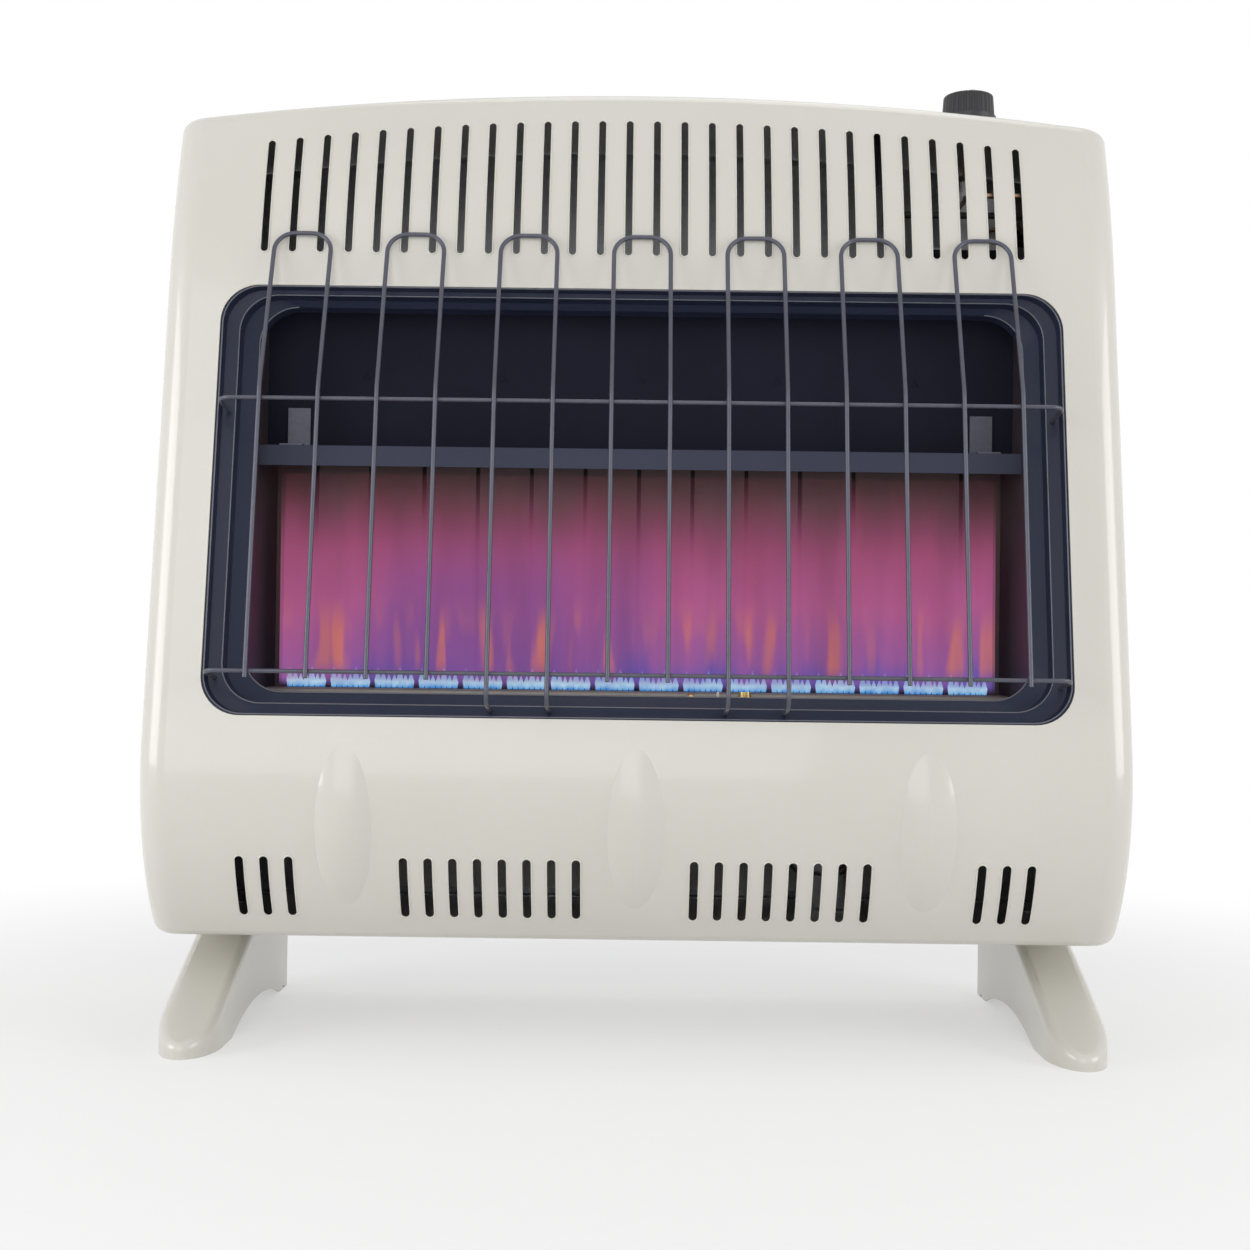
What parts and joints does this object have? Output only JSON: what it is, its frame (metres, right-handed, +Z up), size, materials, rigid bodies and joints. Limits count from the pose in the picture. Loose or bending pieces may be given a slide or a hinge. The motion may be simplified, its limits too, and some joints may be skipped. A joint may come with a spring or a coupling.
{
  "type": "ventless propane heater",
  "caption": "Free-standing blue-flame gas heater: bowed enamelled cabinet with slotted front, open firebox behind a wire guard, curved feet and a top control knob.",
  "frame": {"origin": "on the floor under the middle of the overall box", "axes": "+Z up, the front faces -Y, the viewer's right is +X"},
  "size_m": [0.7, 0.3094, 0.7273],
  "materials": {
    "cream_enamel": "gloss cream stove enamel",
    "dark_enamel": "gloss charcoal porcelain enamel",
    "guard_wire": "bright plated wire, a little heat-dulled",
    "firebox_steel": "aluminised steel, heat-stained",
    "galvanised": "galvanised sheet",
    "burner_steel": "aluminised burner tube",
    "brass": "machined brass",
    "cast_alloy": "die-cast alloy",
    "copper_tube": "drawn tube",
    "screw_steel": "zinc-plated",
    "black_plastic": "moulded, satin",
    "white_mark": "moulded insert",
    "lead_rubber": "high-temperature sleeve",
    "white_ceramic": "glazed insulator"
  },
  "bodies": {
    "heater": {"front_panel": "cream_enamel", "cabinet_wrap": "cream_enamel", "top_panel": "cream_enamel", "left_foot": "cream_enamel", "right_foot": "cream_enamel", "rear_panel": "galvanised", "rear_shield": "galvanised", "window_frame": "dark_enamel", "panel_screws": "screw_steel", "foot_screws": "screw_steel", "cabinet_screws": "screw_steel", "guard_hairpins": "guard_wire", "guard_upper_rail": "guard_wire", "guard_lower_rail": "guard_wire", "firebox_left_side": "firebox_steel", "firebox_right_side": "firebox_steel", "firebox_floor": "firebox_steel", "firebox_back": "firebox_steel", "firebox_hood": "firebox_steel", "hood_brackets": "galvanised", "burner_body": "burner_steel", "burner_brackets": "galvanised", "mixing_tube": "burner_steel", "air_shutter": "galvanised", "injector": "brass", "injector_bracket": "galvanised", "pilot_bracket": "galvanised", "pilot_burner": "brass", "thermocouple": "brass", "spark_electrode": "white_ceramic", "valve_body": "cast_alloy", "valve_bonnet": "cast_alloy", "valve_bracket": "galvanised", "igniter_body": "black_plastic", "igniter_nut": "screw_steel", "regulator_body": "cast_alloy", "regulator_cap": "cast_alloy", "regulator_bracket": "galvanised", "inlet_fitting": "brass", "supply_tube": "copper_tube", "burner_feed_tube": "copper_tube", "pilot_tube": "copper_tube", "ignition_lead": "lead_rubber", "thermocouple_lead": "copper_tube", "tube_nuts": "brass"},
    "valve_rotor": {"valve_plug": "brass"},
    "knob": {"control_knob": "black_plastic", "knob_pointer": "white_mark", "valve_spindle": "brass"},
    "igniter_key": {"igniter_button": "black_plastic"}
  },
  "joints": [
    {"name": "valve_turn", "type": "hinge", "parent": "heater", "child": "valve_rotor", "pos_m": [0.254, 0.01567, 0.6235], "axis": [0, 0, 1], "range_deg": [-240, 0]},
    {"name": "knob_press", "type": "slide", "parent": "valve_rotor", "child": "knob", "axis": [0, 0, -1], "range_m": [0, 0.006], "stiffness_N_per_m": 800},
    {"name": "igniter_press", "type": "slide", "parent": "heater", "child": "igniter_key", "axis": [0, 0, -1], "range_m": [0, 0.005], "stiffness_N_per_m": 1200}
  ]
}
